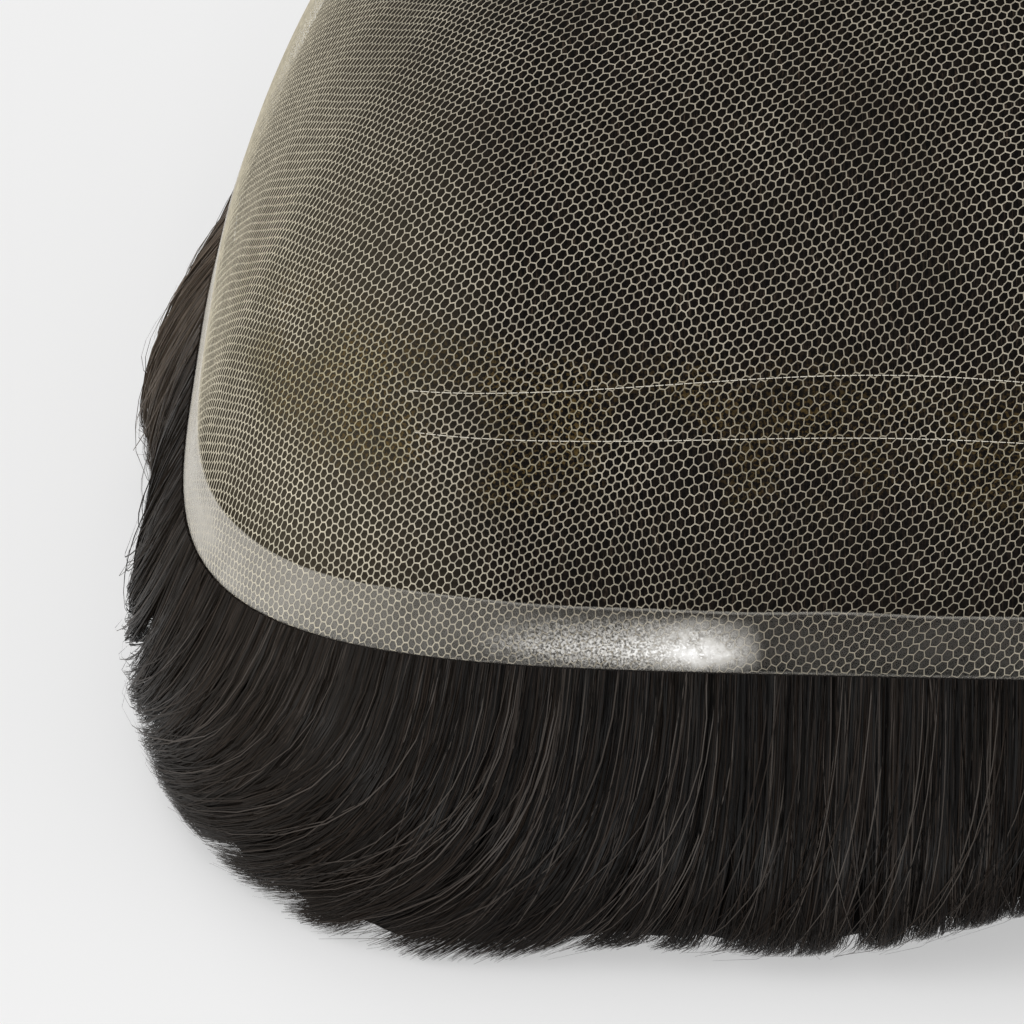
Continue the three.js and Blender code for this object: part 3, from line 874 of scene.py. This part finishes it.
class ToupeeLook(bpy.types.PropertyGroup):
    """Sizes, colours and lights that a user would change."""

    net_pitch: length_prop("Net pitch", "From one hexagon to the next", 1.0)
    net_angle: angle_prop("Net angle", "Turn of the net's rows", 12.5)
    thread_width: length_prop("Thread width", "Width of the net's threads", 0.112)
    sewing_width: length_prop("Sewing width", "Width of the sewing thread", 0.085)
    strand_width: length_prop("Strand width", "Width of a hair, drawn a little thick", 0.115)
    comb: length_prop("Comb", "How far the tips are combed along the edge", 22.0)
    front_strands: count_prop("Front strands", "On the front and its left corner", 9000)
    side_strands: count_prop("Side strands", "On the left side", 5600)
    back_strands: count_prop("Back strands", "On each half behind", 1900)
    film_haze: share_prop("Film haze", "How milky the strip is in front", 0.02)
    hair_gloss: share_prop("Hair gloss", "Specular level of the hair", 0.1)
    thread: colour_prop("Thread", "Pale net thread", "#aea695")
    # Painted light: colour of the threads low on the left side.
    thread_painted_light: colour_prop("Paler thread", "Net thread on the left side", "#d2c9b2")
    thread_dark: colour_prop("Darker thread", "Net thread with dye on it", "#8f8777")
    knot_thread: colour_prop("Thread at knots", "Net thread round bleached knots", "#8a8058")
    knot: colour_prop("Knots", "Bleached knots under the net", "#6e5a33")
    # Painted light: colour of the roots low on the left side.
    roots_painted_light: colour_prop("Paler roots", "Roots on the left side", "#474136")
    film: colour_prop("Film", "Milky film of the strip", "#ebe6dc")
    sewing: colour_prop("Sewing thread", "Rows sewn behind the front edge", "#cfc9ba")
    hair_dark: colour_prop("Dark hair", "Darkest strands", "#090808")
    hair_light: colour_prop("Light hair", "Most strands", "#0e0d0c")
    hair_brown: colour_prop("Brown hair", "Warm strands", "#211a15")
    hair_grey: colour_prop("Grey hair", "A few grey strands", "#403b37")
    # Painted light and sheen: colour of the strands toward the left and the back.
    hair_painted_sheen: colour_prop("Paler hair", "Strands toward the left and the back", "#6a5e52")
    floor: colour_prop("Floor", "Plain pale floor", "#aeaeae")
    floor_glow: share_prop("Floor glow", "Light that the floor gives off", 0.45)
    world_strength: share_prop("World", "Strength of the even light", 0.66)
    key_power: power_prop("Key", "Lamp overhead", 3.4)
    front_power: power_prop("Front", "Small lamp in front", 2.6)
    rim_power: power_prop("Rim", "Lamp behind", 1.6)
    azimuth: angle_prop("Azimuth", "Camera to the right of the front", 2.306)
    elevation: angle_prop("Elevation", "Camera above the floor", 31.8)
    distance: length_prop("Distance", "Camera to its aim", 682.3)
    lens: FloatProperty(name="Lens", description="Focal length", default=251.2, unit="CAMERA")
    aim_right: length_prop("Aim right", "Aim to the right of the front edge", -36.985)
    aim_up: length_prop("Aim up", "Aim above the front edge in the view", 15.742)


class TOUPEE_OT_net(bpy.types.Operator):
    """Lays the hexagonal net over the dome"""

    bl_idname = "toupee.net"
    bl_label = "Lace net"

    def execute(self, context):
        build_net(context.scene.toupee)
        return {"FINISHED"}


class TOUPEE_OT_strip(bpy.types.Operator):
    """Brushes the clear film round the edge"""

    bl_idname = "toupee.strip"
    bl_label = "Edge strip"

    def execute(self, context):
        build_strip(context.scene.toupee)
        return {"FINISHED"}


class TOUPEE_OT_crown_hair(bpy.types.Operator):
    """Makes the hair under the lace"""

    bl_idname = "toupee.crown_hair"
    bl_label = "Crown hair"

    def execute(self, context):
        build_crown_hair(context.scene.toupee)
        return {"FINISHED"}


class TOUPEE_OT_hanging_hair(bpy.types.Operator):
    """Makes the hanging hair: its dark body and its strands"""

    bl_idname = "toupee.hanging_hair"
    bl_label = "Hanging hair"

    def execute(self, context):
        build_hair_mass(context.scene.toupee)
        build_hanging_hair(context.scene.toupee)
        return {"FINISHED"}


class TOUPEE_OT_stitching(bpy.types.Operator):
    """Sews two rows behind the front edge"""

    bl_idname = "toupee.stitching"
    bl_label = "Stitching"

    def execute(self, context):
        build_stitching(context.scene.toupee)
        return {"FINISHED"}


class TOUPEE_OT_stage(bpy.types.Operator):
    """Sets the floor, the lights and the camera"""

    bl_idname = "toupee.stage"
    bl_label = "Stage"

    def execute(self, context):
        build_floor(context.scene.toupee)
        build_lights(context.scene.toupee)
        build_camera(context.scene.toupee)
        return {"FINISHED"}


OPERATORS = (
    TOUPEE_OT_net,
    TOUPEE_OT_strip,
    TOUPEE_OT_crown_hair,
    TOUPEE_OT_hanging_hair,
    TOUPEE_OT_stitching,
    TOUPEE_OT_stage,
)


class TOUPEE_PT_pieces(bpy.types.Panel):
    """Lists the pieces in the sidebar"""

    bl_label = "Toupee"
    bl_space_type = "VIEW_3D"
    bl_region_type = "UI"
    bl_category = "Toupee"

    def draw(self, context):
        for item in OPERATORS:
            self.layout.operator(item.bl_idname)


CLASSES = (ToupeeLook, *OPERATORS, TOUPEE_PT_pieces)


def register():
    for item in CLASSES:
        bpy.utils.register_class(item)
    bpy.types.Scene.toupee = PointerProperty(type=ToupeeLook)


def unregister():
    del bpy.types.Scene.toupee
    for item in reversed(CLASSES):
        bpy.utils.unregister_class(item)


def main():
    register()
    bpy.ops.toupee.net()
    bpy.ops.toupee.strip()
    bpy.ops.toupee.crown_hair()
    bpy.ops.toupee.hanging_hair()
    bpy.ops.toupee.stitching()
    bpy.ops.toupee.stage()


if __name__ == "__main__":
    main()
